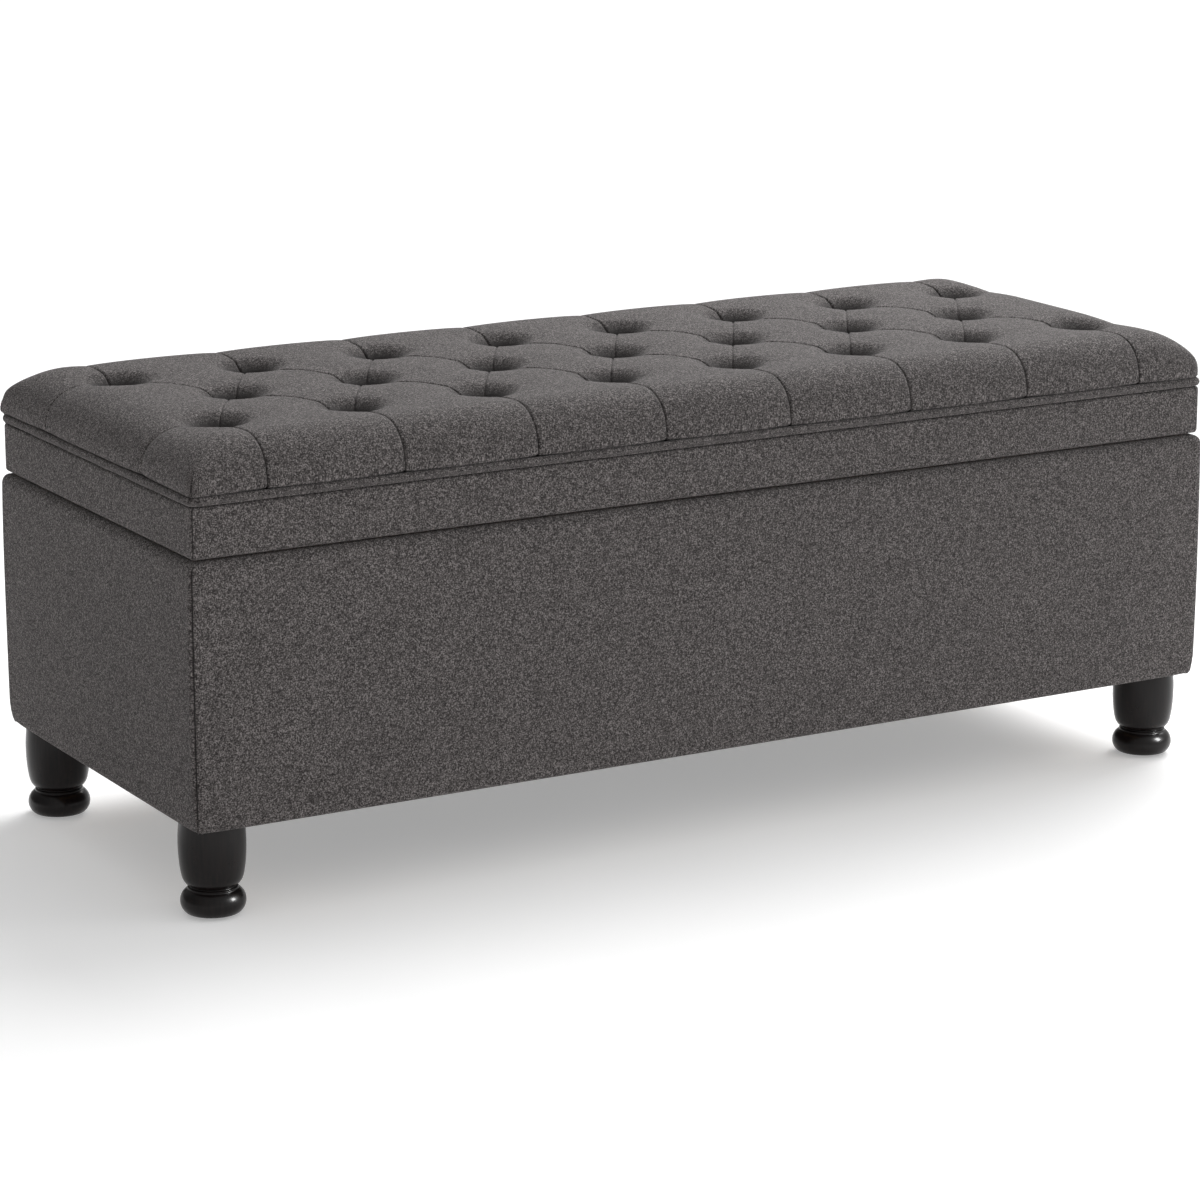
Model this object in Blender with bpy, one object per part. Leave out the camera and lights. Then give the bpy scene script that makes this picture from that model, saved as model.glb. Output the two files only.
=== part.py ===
"""Storage bench with a diamond-tufted, hinged lid, modelled piece by piece.

Metres, +Z up. The origin is on the floor below the middle of the bench. X runs along the bench,
and the front faces -Y. The lid turns on a continuous hinge along its rear lower edge, and two
gas struts follow it.
"""

from math import atan2, cos, pi, radians, sin, sqrt

import bmesh
import bpy
from mathutils import Matrix, Vector

# Overall size
WIDTH = 1.270
DEPTH = 0.500
HEIGHT = 0.507
LEG_HEIGHT = 0.105
RIM_Z = 0.385  # top of the base's upholstered rim
GAP = 0.0003  # space between pieces that touch
CUT_OVER = 0.001  # how far a cutter runs past the face that it opens

HALF_W = WIDTH / 2
HALF_D = DEPTH / 2

# Base box: insets are measured inwards from the outer face of the base
COVER_T = 0.010
PANEL_T = 0.015
RIM_T = 0.002
RIM_ROUND = 0.010
LINING_T = 0.001
CORNER_ROUND = 0.010
SHARPEST_CORNER = 0.0004
HEM_ROUND = 0.002  # the cover's lower edge
PANEL_INSET = COVER_T + GAP
INNER_INSET = PANEL_INSET + PANEL_T
LINING_INSET = INNER_INSET + GAP + LINING_T
PANEL_LOW = LEG_HEIGHT + 0.0015
PANEL_TOP = RIM_Z - RIM_T - GAP
BLOCK_SIZE = 0.085
BLOCK_T = 0.020
DUST_T = 0.001
BOTTOM_T = 0.009
BOTTOM_LOW = PANEL_LOW + BLOCK_T + GAP
BOTTOM_TOP = BOTTOM_LOW + BOTTOM_T

# Lid, from the underside up
LID_LOW = RIM_Z + 0.0018
LID_INSET = 0.0025
BAND_T = 0.006
FRAME_INSET = LID_INSET + BAND_T + GAP
FRAME_W = 0.020
FRAME_TOP = LID_LOW + 0.0422
BOARD_T = 0.012
BOARD_TOP = FRAME_TOP + GAP + BOARD_T
BAND_ROUND = 0.004
PIPING_R = 0.005
PIPING_Z = BOARD_TOP + GAP + PIPING_R
PIPING_INSET = PIPING_R
PAD_INSET = 2 * PIPING_R + GAP
PAD_LOW = BOARD_TOP + GAP
PAD_SHOULDER = 0.052
PAD_SHOULDER_STEPS = 5
PAD_CORNER = 0.030

# Tufting: three staggered rows on a diamond grid
TUFT_PITCH = 0.156
TUFT_ROW_Y = DEPTH / 4
BUTTON_Z = 0.470
BUTTON_R = 0.010
BUTTON_H = 0.008
BUTTON_SIDES = 10
WELL_R = 0.030
WELL_FLOOR_R = 0.0125
WELL_WAIST_R = 0.0165
WELL_WAIST_RISE = 0.012
BUTTON_EDGE = 0.002  # straight part below a button's domed face
BUTTON_TIP_R = 0.0012

# Hinge
HINGE_LENGTH = 1.100
HINGE_KNUCKLES = 15
LEAF_T = 0.0012
LEAF_W = 0.0165
KNUCKLE_R = 0.0028
KNUCKLE_HOLE_R = 0.0014
KNUCKLE_SIDES = 12
KNUCKLE_ROOM = 0.0018  # clearance cut in the lid's fabric around the knuckles
WEB_MARGIN = 0.0001  # how far inside its leaf a knuckle's web lies
WEB_REACH = 0.002
HINGE_PIN_R = 0.0011
PIN_SHORT = 0.001  # how far the pin stops short of each end of the hinge
AXIS_Y = HALF_D - 0.0036
AXIS_Z = RIM_Z + GAP + LEAF_T + GAP / 2
REBATE_Z = LID_LOW + LEAF_T + GAP

# Gas struts, in the plane of one end of the box, measured from the hinge axis
STRUT_X = 0.598
STRUT_FOOT = (-0.160, -0.115)
STRUT_HEAD = (-0.050, 0.014)
EYE_R = 0.007
EYE_T = 0.005
STUD_R = 0.0028
STUD_HOLE_R = 0.0032
TUBE_R = 0.0075
ROD_R = 0.004
BORE_R = 0.0043
TUBE_SHORT = 0.040  # the closed strut's tube ends this far before the rod's eye
SHANK_START = 0.0052  # where a tube or rod runs into its eye
BORE_START = 0.030
ROD_TAIL = 0.034  # the closed rod's hidden end, from the foot
BRACKET_T = 0.002
FOOT_PLATE = (0.012, 0.018)  # half sizes along y and z
HEAD_PLATE = (0.018, 0.010)
HEAD_STUD_R = 0.0045
FOOT_STUD_OUT = 0.002  # how far the foot's stud runs past the tube's eye
HEAD_STUD_CLEAR = 0.0007  # side clearance between the head's stud and the rod's eye

# Legs
LEG_INSET_X = 0.037
LEG_INSET_Y = 0.046
GLIDE_R = 0.012
GLIDE_T = 0.003
GLIDE_ROUND = 0.001
LEG_SIDES = 22
GLIDE_SIDES = 14
LEG_VASE = (  # radius, height
    (0.0330, LEG_HEIGHT - GAP),
    (0.0345, 0.0960),
    (0.0353, 0.0840),
    (0.0354, 0.0730),
    (0.0348, 0.0620),
    (0.0336, 0.0515),
    (0.0315, 0.0420),
    (0.0280, 0.0350),
    (0.0240, 0.0320),
    (0.0240, 0.0305),
    (0.0264, 0.0295),
)
BUN_RING_R = 0.0193
BUN_ROUND_R = 0.0150
BUN_Z = 0.0152

FABRIC = ("charcoal_fabric", (0.085, 0.080, 0.078), 0.95, 0.0)
WOOD_DARK = ("espresso_wood", (0.012, 0.010, 0.010), 0.35, 0.0)
BOARD = ("plain_board", (0.42, 0.30, 0.19), 0.75, 0.0)
LINING = ("black_lining", (0.015, 0.015, 0.016), 0.9, 0.0)
STEEL = ("zinc_steel", (0.55, 0.55, 0.56), 0.35, 1.0)
STRUT_BLACK = ("strut_paint", (0.02, 0.02, 0.022), 0.3, 0.6)
NYLON = ("nylon", (0.05, 0.05, 0.05), 0.5, 0.0)

X_AXIS = Vector((1, 0, 0))
Z_AXIS = Vector((0, 0, 1))


def clear_scene():
    for item in list(bpy.data.objects):
        bpy.data.objects.remove(item, do_unlink=True)


def material(spec):
    name, color, roughness, metallic = spec
    made = bpy.data.materials.get(name)
    if made is None:
        made = bpy.data.materials.new(name)
        made.use_nodes = True
        shader = made.node_tree.nodes["Principled BSDF"]
        shader.inputs["Base Color"].default_value = (*color, 1.0)
        shader.inputs["Roughness"].default_value = roughness
        shader.inputs["Metallic"].default_value = metallic
    return made


def add_object(name, verts, faces, spec):
    """A closed mesh object whose normals point out."""
    shape = bmesh.new()
    made = [shape.verts.new(v) for v in verts]
    for face in faces:
        shape.faces.new([made[i] for i in face])
    bmesh.ops.recalc_face_normals(shape, faces=shape.faces)
    mesh = bpy.data.meshes.new(name)
    shape.to_mesh(mesh)
    shape.free()
    mesh.materials.append(material(spec))
    item = bpy.data.objects.new(name, mesh)
    bpy.context.collection.objects.link(item)
    return item


def box_mesh(low, high):
    verts = [(x, y, z) for x in (low[0], high[0]) for y in (low[1], high[1]) for z in (low[2], high[2])]
    faces = [(0, 1, 3, 2), (4, 6, 7, 5), (0, 4, 5, 1), (2, 3, 7, 6), (0, 2, 6, 4), (1, 5, 7, 3)]
    return verts, faces


def box(name, low, high, spec):
    return add_object(name, *box_mesh(low, high), spec)


def loft_mesh(rings, closed=False):
    """Rings of equal point counts joined side by side."""
    count = len(rings[0])
    verts = [point for ring in rings for point in ring]
    faces = []
    spans = len(rings) if closed else len(rings) - 1
    for i in range(spans):
        a = i * count
        b = (i + 1) % len(rings) * count
        for j in range(count):
            k = (j + 1) % count
            faces.append((a + j, a + k, b + k, b + j))
    if not closed:
        faces.append(tuple(range(count)))
        faces.append(tuple(range(len(verts) - count, len(verts))))
    return verts, faces


def shade_round(item, angle=radians(35)):
    item.data.shade_smooth()
    item.data.set_sharp_from_angle(angle=angle)
    return item


def turned_mesh(profile, segments):
    """A solid of revolution about Z, from (radius, height) pairs."""
    turns = [2 * pi * i / segments for i in range(segments)]
    rings = [[(r * cos(a), r * sin(a), z) for a in turns] for r, z in profile]
    return loft_mesh(rings)


def turned(name, profile, segments, spec):
    return shade_round(add_object(name, *turned_mesh(profile, segments), spec))


def rod_mesh(start, end, radius, segments=16):
    """A round bar from start to end."""
    start = Vector(start)
    run = Vector(end) - start
    turn = Z_AXIS.rotation_difference(run).to_matrix()
    verts, faces = turned_mesh(((radius, 0.0), (radius, run.length)), segments)
    return [tuple(start + turn @ Vector(v)) for v in verts], faces


def joined(*meshes):
    verts = []
    faces = []
    for part_verts, part_faces in meshes:
        base = len(verts)
        verts.extend(part_verts)
        faces.extend(tuple(base + i for i in face) for face in part_faces)
    return verts, faces


def combine(item, mesh, operation):
    """Adds mesh to item, or cuts it away."""
    cutter = add_object(f"{item.name}_{operation.lower()}_{len(item.modifiers)}", *mesh, STEEL)
    cutter.hide_render = True
    cutter.display_type = "WIRE"
    modifier = item.modifiers.new(operation.title(), "BOOLEAN")
    modifier.operation = operation
    modifier.solver = "EXACT"
    modifier.object = cutter
    return item


def set_origin(item, point):
    point = Vector(point)
    item.data.transform(Matrix.Translation(-point))
    item.location = point
    return item


def rounded_rectangle(inset, z, corner, steps=4):
    """Points around the plan of the bench, inset from its outer faces."""
    radius = max(corner - inset, SHARPEST_CORNER)
    cx = HALF_W - inset - radius
    cy = HALF_D - inset - radius
    points = []
    for quarter, (sx, sy) in enumerate(((1, 1), (-1, 1), (-1, -1), (1, -1))):
        for step in range(steps + 1):
            angle = (quarter + step / steps) * pi / 2
            points.append((sx * cx + radius * cos(angle), sy * cy + radius * sin(angle), z))
    return points


def ring(name, profile, corner, spec):
    """A closed (inset, z) profile swept around the plan of the bench."""
    rings = [rounded_rectangle(inset, z, corner) for inset, z in profile]
    return shade_round(add_object(name, *loft_mesh(rings, closed=True), spec))


def arc(centre_inset, centre_z, radius, start, end, steps):
    """(inset, z) points: 0 degrees points outwards, 90 degrees up."""
    points = []
    for step in range(steps + 1):
        angle = radians(start + (end - start) * step / steps)
        points.append((centre_inset - radius * cos(angle), centre_z + radius * sin(angle)))
    return points


def make_base_panels():
    x_out = HALF_W - PANEL_INSET
    y_out = HALF_D - PANEL_INSET
    x_in = HALF_W - INNER_INSET
    y_in = HALF_D - INNER_INSET
    for name, sign in (("base_front_panel", -1), ("base_back_panel", 1)):
        y_pair = sorted((sign * y_out, sign * y_in))
        box(name, (-x_out, y_pair[0], PANEL_LOW), (x_out, y_pair[1], PANEL_TOP), BOARD)
    for name, sign in (("base_left_panel", -1), ("base_right_panel", 1)):
        x_pair = sorted((sign * x_out, sign * x_in))
        y_end = y_in - GAP
        box(name, (x_pair[0], -y_end, PANEL_LOW), (x_pair[1], y_end, PANEL_TOP), BOARD)
    x_fit = x_in - GAP
    y_fit = y_in - GAP
    box("base_bottom_panel", (-x_fit, -y_fit, BOTTOM_LOW), (x_fit, y_fit, BOTTOM_TOP), BOARD)


def corners():
    for y_name, sy in (("front", -1), ("rear", 1)):
        for x_name, sx in (("left", -1), ("right", 1)):
            yield f"{y_name}_{x_name}", sx, sy


def make_corner_blocks():
    for name, sx, sy in corners():
        x_pair = sorted((sx * (HALF_W - INNER_INSET - GAP), sx * (HALF_W - INNER_INSET - BLOCK_SIZE)))
        y_pair = sorted((sy * (HALF_D - INNER_INSET - GAP), sy * (HALF_D - INNER_INSET - BLOCK_SIZE)))
        low = (x_pair[0], y_pair[0], PANEL_LOW)
        high = (x_pair[1], y_pair[1], PANEL_LOW + BLOCK_T)
        box(f"corner_block_{name}", low, high, BOARD)


def make_base_cover():
    """Foam and fabric around the box, folded over the top edges of the panels."""
    profile = [(0.0, LEG_HEIGHT + HEM_ROUND), (HEM_ROUND, LEG_HEIGHT), (COVER_T, LEG_HEIGHT)]
    profile += [(COVER_T, PANEL_TOP + GAP), (INNER_INSET, PANEL_TOP + GAP), (INNER_INSET, RIM_Z)]
    profile += reversed(arc(RIM_ROUND, RIM_Z - RIM_ROUND, RIM_ROUND, 0, 90, 4))
    ring("base_cover", profile, CORNER_ROUND, FABRIC)


def make_storage_lining():
    """An open-topped tray of thin lining inside the box."""
    outer = INNER_INSET + GAP
    low = BOTTOM_TOP + GAP
    top = PANEL_TOP - GAP
    rings = [
        rounded_rectangle(inset, z, 0.0)
        for inset, z in ((outer, low), (outer, top), (LINING_INSET, top), (LINING_INSET, low + LINING_T))
    ]
    add_object("storage_lining", *loft_mesh(rings), LINING)


def make_dust_cover():
    """A thin sheet below the bottom panel, cut away at the legs."""
    x_out = HALF_W - INNER_INSET - GAP
    y_out = HALF_D - INNER_INSET - GAP
    notch = BLOCK_SIZE + GAP
    low = PANEL_LOW
    high = PANEL_LOW + DUST_T
    outline = []
    for sx, sy in ((1, 1), (-1, 1), (-1, -1), (1, -1)):
        side = (sx * x_out, sy * (y_out - notch))
        inner = (sx * (x_out - notch), sy * (y_out - notch))
        end = (sx * (x_out - notch), sy * y_out)
        outline += [side, inner, end] if sx * sy > 0 else [end, inner, side]
    rings = [[(x, y, z) for x, y in outline] for z in (low, high)]
    add_object("dust_cover", *loft_mesh(rings), LINING)


def leg_profile():
    """The vase with its neck, then a round bun cut flat at the glide."""
    bun = []
    floor = GLIDE_T + GAP
    for degrees in (58, 35, 12, -12, -35):
        angle = radians(degrees)
        bun.append((BUN_RING_R + BUN_ROUND_R * cos(angle), BUN_Z + BUN_ROUND_R * sin(angle)))
    bun.append((BUN_RING_R + sqrt(BUN_ROUND_R**2 - (BUN_Z - floor) ** 2), floor))
    return LEG_VASE + tuple(bun)


def make_legs():
    for name, sx, sy in corners():
        place = Vector((sx * (HALF_W - LEG_INSET_X), sy * (HALF_D - LEG_INSET_Y), 0))
        leg = turned(f"leg_{name}", leg_profile(), LEG_SIDES, WOOD_DARK)
        leg.location = place
        glide_profile = ((GLIDE_R - GLIDE_ROUND, 0.0), (GLIDE_R, GLIDE_ROUND), (GLIDE_R, GLIDE_T))
        glide = turned(f"leg_glide_{name}", glide_profile, GLIDE_SIDES, NYLON)
        glide.location = place


def make_lid_frame():
    """Four rails as one glued frame, rebated at the rear for the hinge leaf."""
    outer = FRAME_INSET
    inner = FRAME_INSET + FRAME_W
    profile = [(outer, LID_LOW), (outer, FRAME_TOP), (inner, FRAME_TOP), (inner, LID_LOW)]
    frame = ring("lid_frame", profile, CORNER_ROUND, BOARD)
    half = HINGE_LENGTH / 2 + GAP
    low = (-half, AXIS_Y - KNUCKLE_R - LEAF_W - 2 * GAP, LID_LOW - 2 * CUT_OVER)
    high = (half, HALF_D, REBATE_Z)
    combine(frame, box_mesh(low, high), "DIFFERENCE")


def make_lid_board():
    rings = [rounded_rectangle(FRAME_INSET, z, CORNER_ROUND) for z in (FRAME_TOP + GAP, BOARD_TOP)]
    add_object("lid_board", *loft_mesh(rings), BOARD)


def make_lid_lining():
    inset = FRAME_INSET + FRAME_W + GAP
    rings = [rounded_rectangle(inset, z, 0.0) for z in (FRAME_TOP - LINING_T, FRAME_TOP)]
    add_object("lid_lining", *loft_mesh(rings), LINING)


def make_lid_band():
    """Padded fabric around the lid, with the hinge knuckles let into its rear edge."""
    outer = LID_INSET
    inner = LID_INSET + BAND_T
    profile = [(inner, LID_LOW), (inner, BOARD_TOP), (outer, BOARD_TOP)]
    profile += arc(outer + BAND_ROUND, LID_LOW + BAND_ROUND, BAND_ROUND, 0, -90, 3)
    band = ring("lid_band_cover", profile, CORNER_ROUND, FABRIC)
    half = HINGE_LENGTH / 2 + KNUCKLE_ROOM
    low = (-half, HALF_D - LID_INSET - BAND_T - CUT_OVER, LID_LOW - 2 * CUT_OVER)
    high = (half, HALF_D + CUT_OVER, AXIS_Z + KNUCKLE_R + KNUCKLE_ROOM / 2)
    combine(band, box_mesh(low, high), "DIFFERENCE")


def make_piping():
    profile = arc(PIPING_INSET, PIPING_Z, PIPING_R, 0, 315, 7)
    ring("lid_piping", profile, CORNER_ROUND, FABRIC)


def tuft_places():
    """Name and plan position of every tuft."""
    for row, y, count in (("front", -TUFT_ROW_Y, 8), ("middle", 0.0, 7), ("rear", TUFT_ROW_Y, 8)):
        for i in range(count):
            yield f"{row}_{i + 1}", (i - (count - 1) / 2) * TUFT_PITCH, y


def make_seat_pad():
    """Foam and its tufted cover as one soft solid, with a tapered well at each button."""
    rings = [rounded_rectangle(PAD_INSET, PAD_LOW, PAD_CORNER, 3)]
    shoulder = HEIGHT - PAD_SHOULDER
    for step in range(PAD_SHOULDER_STEPS + 1):
        angle = step / PAD_SHOULDER_STEPS * pi / 2
        inset = PAD_INSET + PAD_SHOULDER * (1 - cos(angle))
        z = shoulder + PAD_SHOULDER * sin(angle)
        corner = PAD_CORNER + inset
        rings.append(rounded_rectangle(inset, z, corner, 3))
    pad = shade_round(add_object("seat_pad", *loft_mesh(rings), FABRIC))
    well = ((WELL_FLOOR_R, BUTTON_Z - GAP), (WELL_WAIST_R, BUTTON_Z + WELL_WAIST_RISE))
    well += ((WELL_R, HEIGHT + CUT_OVER),)
    wells = []
    for _, x, y in tuft_places():
        verts, faces = turned_mesh(well, 12)
        wells.append(([(x + vx, y + vy, vz) for vx, vy, vz in verts], faces))
    combine(pad, joined(*wells), "DIFFERENCE")


def make_buttons():
    """Fabric-covered buttons: a flat back and a domed face."""
    steps = 3
    dome = [(BUTTON_R, BUTTON_Z), (BUTTON_R, BUTTON_Z + BUTTON_EDGE)]
    for step in range(1, steps):
        angle = step / steps * pi / 2
        rise = BUTTON_EDGE + (BUTTON_H - BUTTON_EDGE) * sin(angle)
        dome.append((BUTTON_R * cos(angle), BUTTON_Z + rise))
    dome.append((BUTTON_TIP_R, BUTTON_Z + BUTTON_H))
    for name, x, y in tuft_places():
        button = turned(f"tuft_button_{name}", dome, BUTTON_SIDES, FABRIC)
        button.location = (x, y, 0.0)


def knuckle_prism(x_low, x_high, side):
    """One knuckle with the web that joins it to its leaf; side is 1 above the axis, -1 below."""
    web_low = GAP / 2 + WEB_MARGIN
    web_high = GAP / 2 + LEAF_T - WEB_MARGIN
    web_y = KNUCKLE_R + WEB_REACH
    first = pi - atan2(web_low, sqrt(KNUCKLE_R**2 - web_low**2))
    last = pi - atan2(web_high, sqrt(KNUCKLE_R**2 - web_high**2))
    outline = [(-web_y, web_high), (-web_y, web_low)]
    sweep = 2 * pi - (first - last)
    for step in range(KNUCKLE_SIDES + 1):
        angle = first + sweep * step / KNUCKLE_SIDES
        outline.append((KNUCKLE_R * cos(angle), KNUCKLE_R * sin(angle)))
    return loft_mesh([[(x, AXIS_Y + y, AXIS_Z + side * z) for y, z in outline] for x in (x_low, x_high)])


def make_hinge_leaf(name, side, first_knuckle):
    """A leaf plate with every second knuckle of the continuous hinge."""
    half = HINGE_LENGTH / 2
    pitch = HINGE_LENGTH / HINGE_KNUCKLES
    z_pair = sorted((AXIS_Z + side * GAP / 2, AXIS_Z + side * (GAP / 2 + LEAF_T)))
    y_out = AXIS_Y - KNUCKLE_R - GAP
    leaf = box(name, (-half, y_out - LEAF_W, z_pair[0]), (half, y_out, z_pair[1]), STEEL)
    prisms = []
    for index in range(first_knuckle, HINGE_KNUCKLES, 2):
        x_low = -half + index * pitch + GAP
        prisms.append(knuckle_prism(x_low, x_low + pitch - 2 * GAP, side))
    combine(leaf, joined(*prisms), "UNION")
    end = half + CUT_OVER
    hole = rod_mesh((-end, AXIS_Y, AXIS_Z), (end, AXIS_Y, AXIS_Z), KNUCKLE_HOLE_R, KNUCKLE_SIDES)
    combine(leaf, hole, "DIFFERENCE")
    return leaf


def make_hinge():
    axis = (0.0, AXIS_Y, AXIS_Z)
    set_origin(make_hinge_leaf("hinge_base_leaf", -1, 0), axis)
    set_origin(make_hinge_leaf("hinge_lid_leaf", 1, 1), axis)
    half = HINGE_LENGTH / 2 - PIN_SHORT
    pin = rod_mesh((-half, AXIS_Y, AXIS_Z), (half, AXIS_Y, AXIS_Z), HINGE_PIN_R, KNUCKLE_SIDES)
    set_origin(shade_round(add_object("hinge_pin", *pin, STEEL)), axis)


def make_strut(side_name, sign):
    """A gas strut: the tube swings on the box, and the rod slides in it towards the lid."""
    x = sign * STRUT_X
    foot = Vector((x, AXIS_Y + STRUT_FOOT[0], AXIS_Z + STRUT_FOOT[1]))
    head = Vector((x, AXIS_Y + STRUT_HEAD[0], AXIS_Z + STRUT_HEAD[1]))
    along = (head - foot).normalized()
    closed = (head - foot).length
    half_eye = X_AXIS * EYE_T / 2
    tube_end = foot + along * (closed - TUBE_SHORT)
    tube_eye = rod_mesh(foot - half_eye, foot + half_eye, EYE_R)
    tube = add_object(f"strut_tube_{side_name}", *tube_eye, STRUT_BLACK)
    combine(tube, rod_mesh(foot + along * SHANK_START, tube_end, TUBE_R), "UNION")
    bore_end = tube_end + along * CUT_OVER
    combine(tube, rod_mesh(foot + along * BORE_START, bore_end, BORE_R), "DIFFERENCE")
    combine(tube, rod_mesh(foot - half_eye * 2, foot + half_eye * 2, STUD_HOLE_R), "DIFFERENCE")
    set_origin(tube, foot)
    rod_eye = rod_mesh(head - half_eye, head + half_eye, EYE_R)
    rod = add_object(f"strut_rod_{side_name}", *rod_eye, STEEL)
    combine(rod, rod_mesh(foot + along * ROD_TAIL, head - along * SHANK_START, ROD_R), "UNION")
    set_origin(rod, head)


def bracket_mesh(x_plate, sign, centre, plate_half, stud_end, stud_r):
    """A plate against an end wall, and the turned stud that points from it into the box."""
    low_x, high_x = sorted((x_plate, x_plate - sign * BRACKET_T))
    low = (low_x, centre[1] - plate_half[0], centre[2] - plate_half[1])
    high = (high_x, centre[1] + plate_half[0], centre[2] + plate_half[1])
    start = (x_plate - sign * BRACKET_T / 2, centre[1], centre[2])
    return box_mesh(low, high), rod_mesh(start, (stud_end, centre[1], centre[2]), stud_r)


def make_strut_brackets(side_name, sign):
    """The foot bracket carries the tube's eye; the head bracket's stud faces the rod's eye."""
    foot = (0.0, AXIS_Y + STRUT_FOOT[0], AXIS_Z + STRUT_FOOT[1])
    head = (0.0, AXIS_Y + STRUT_HEAD[0], AXIS_Z + STRUT_HEAD[1])
    wall_x = sign * (HALF_W - LINING_INSET - GAP)
    stud_end = sign * (STRUT_X - EYE_T / 2 - FOOT_STUD_OUT)
    plate, stud = bracket_mesh(wall_x, sign, foot, FOOT_PLATE, stud_end, STUD_R)
    bracket = add_object(f"strut_foot_bracket_{side_name}", *plate, STEEL)
    combine(bracket, stud, "UNION")
    rail_x = sign * (HALF_W - FRAME_INSET - FRAME_W - GAP)
    stud_end = sign * (STRUT_X + EYE_T / 2 + HEAD_STUD_CLEAR)
    plate, stud = bracket_mesh(rail_x, sign, head, HEAD_PLATE, stud_end, HEAD_STUD_R)
    bracket = add_object(f"strut_head_bracket_{side_name}", *plate, STEEL)
    combine(bracket, stud, "UNION")


def make_struts():
    for side_name, sign in (("left", -1), ("right", 1)):
        make_strut(side_name, sign)
        make_strut_brackets(side_name, sign)


def main():
    clear_scene()
    make_base_panels()
    make_corner_blocks()
    make_base_cover()
    make_storage_lining()
    make_dust_cover()
    make_legs()
    make_lid_frame()
    make_lid_board()
    make_lid_lining()
    make_lid_band()
    make_piping()
    make_seat_pad()
    make_buttons()
    make_hinge()
    make_struts()


main()
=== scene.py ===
"""Looks of the tufted storage bench: upholstery, turned legs, lining, hardware, light and camera.

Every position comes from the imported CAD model. Lengths are metres.
"""

from math import cos, hypot, pi, radians, sin

import bpy
import numpy as np
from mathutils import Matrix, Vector


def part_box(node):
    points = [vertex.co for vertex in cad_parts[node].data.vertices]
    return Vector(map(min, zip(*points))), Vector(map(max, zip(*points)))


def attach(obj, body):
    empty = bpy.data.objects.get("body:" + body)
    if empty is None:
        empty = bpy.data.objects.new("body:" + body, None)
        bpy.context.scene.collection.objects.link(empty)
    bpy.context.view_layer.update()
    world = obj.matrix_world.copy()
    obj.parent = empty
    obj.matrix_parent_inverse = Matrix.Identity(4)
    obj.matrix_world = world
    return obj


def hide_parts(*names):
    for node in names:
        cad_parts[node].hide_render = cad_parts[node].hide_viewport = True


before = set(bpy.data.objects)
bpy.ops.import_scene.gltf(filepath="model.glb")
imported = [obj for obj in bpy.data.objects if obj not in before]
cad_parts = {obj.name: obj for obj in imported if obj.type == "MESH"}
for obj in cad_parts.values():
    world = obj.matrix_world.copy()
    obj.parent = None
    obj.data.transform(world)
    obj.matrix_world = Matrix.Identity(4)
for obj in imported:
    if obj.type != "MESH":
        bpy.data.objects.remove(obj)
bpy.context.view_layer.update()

# ---------------------------------------------------------------- places read from the CAD model

BASE_LOW, BASE_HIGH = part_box("base_cover")
BAND_LOW, BAND_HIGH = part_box("lid_band_cover")
PAD_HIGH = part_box("seat_pad")[1]
PIPING_LOW, PIPING_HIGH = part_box("lid_piping")
HALF_W = BASE_HIGH.x
HALF_D = BASE_HIGH.y
ROWS = (("front", 8), ("middle", 7), ("rear", 8))


def centre_of(node):
    """The middle of a CAD node's box."""
    low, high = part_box(node)
    return (low + high) / 2


TUFT_PITCH = centre_of("tuft_button_front_2").x - centre_of("tuft_button_front_1").x
TUFT_ROW_Y = centre_of("tuft_button_rear_1").y
BUTTON_LOW, BUTTON_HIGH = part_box("tuft_button_front_1")

# ---------------------------------------------------------------- seat pad shape

LATTICE = 48  # lattice steps between neighbouring tufts
SEAM_PULL = 0.76  # how strongly lattice points gather at the seams
EDGE_PULL = 0.6  # how strongly the rows gather at the front and rear tufts
END_EASE = 0.45  # how evenly the columns beyond the last tufts are spaced
SHOULDER = 0.052  # how far in from its long faces the pad's top turns flat
END_SHOULDER = 0.068
SHOULDER_STEPS = 26
SHOULDER_POWER = 2.3  # a quarter circle would be 2: this is a little boxier
CORNER_POWER = 2.6  # how square the pad's plan stays as it rounds over
END_STEPS = 20
CROWN_PUFF = 0.0026  # how far the cloth stands out between seams, on top
SIDE_PUFF = 0.0024
PUFF_POWER = 0.50
PAD_INSET = 0.0038  # how far the pad's faces stay inside the box's
PAD_OUT_X = HALF_W - PAD_INSET
PAD_OUT_Y = HALF_D - PAD_INSET
PAD_CORNER = 0.010  # plan radius of the pad's upright corners
DOME_LOW = PIPING_HIGH.z + 0.0034
DOME_HIGH = PAD_HIGH.z - CROWN_PUFF - 0.0016
ON_FACE = 0.999  # sine of a shoulder's turn beyond which a point is on the upright face

# Wells around the buttons
TUFT_COLUMNS = 8
LAST_TUFT_X = (TUFT_COLUMNS - 1) / 2 * TUFT_PITCH
BUTTON_SEAT = 0.0085  # radius of the well's flat bottom
WELL_RADIUS = 0.042
WELL_POWER = 1.34
WELL_DEPTH = DOME_HIGH - BUTTON_LOW.z - 0.0015
SAG = 0.0085  # how far the cloth is drawn down around each well
SAG_RADIUS = 0.080

# Ears: how far each upright corner stands out beyond the faces
EAR_RIGHT = -0.0008
EAR_REAR_LEFT = 0.0042
EAR_FRONT_LEFT = 0.0020
EAR_WIDTH = 0.030
EAR_FALL = 1.6  # how soon the ear is gone going up

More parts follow.
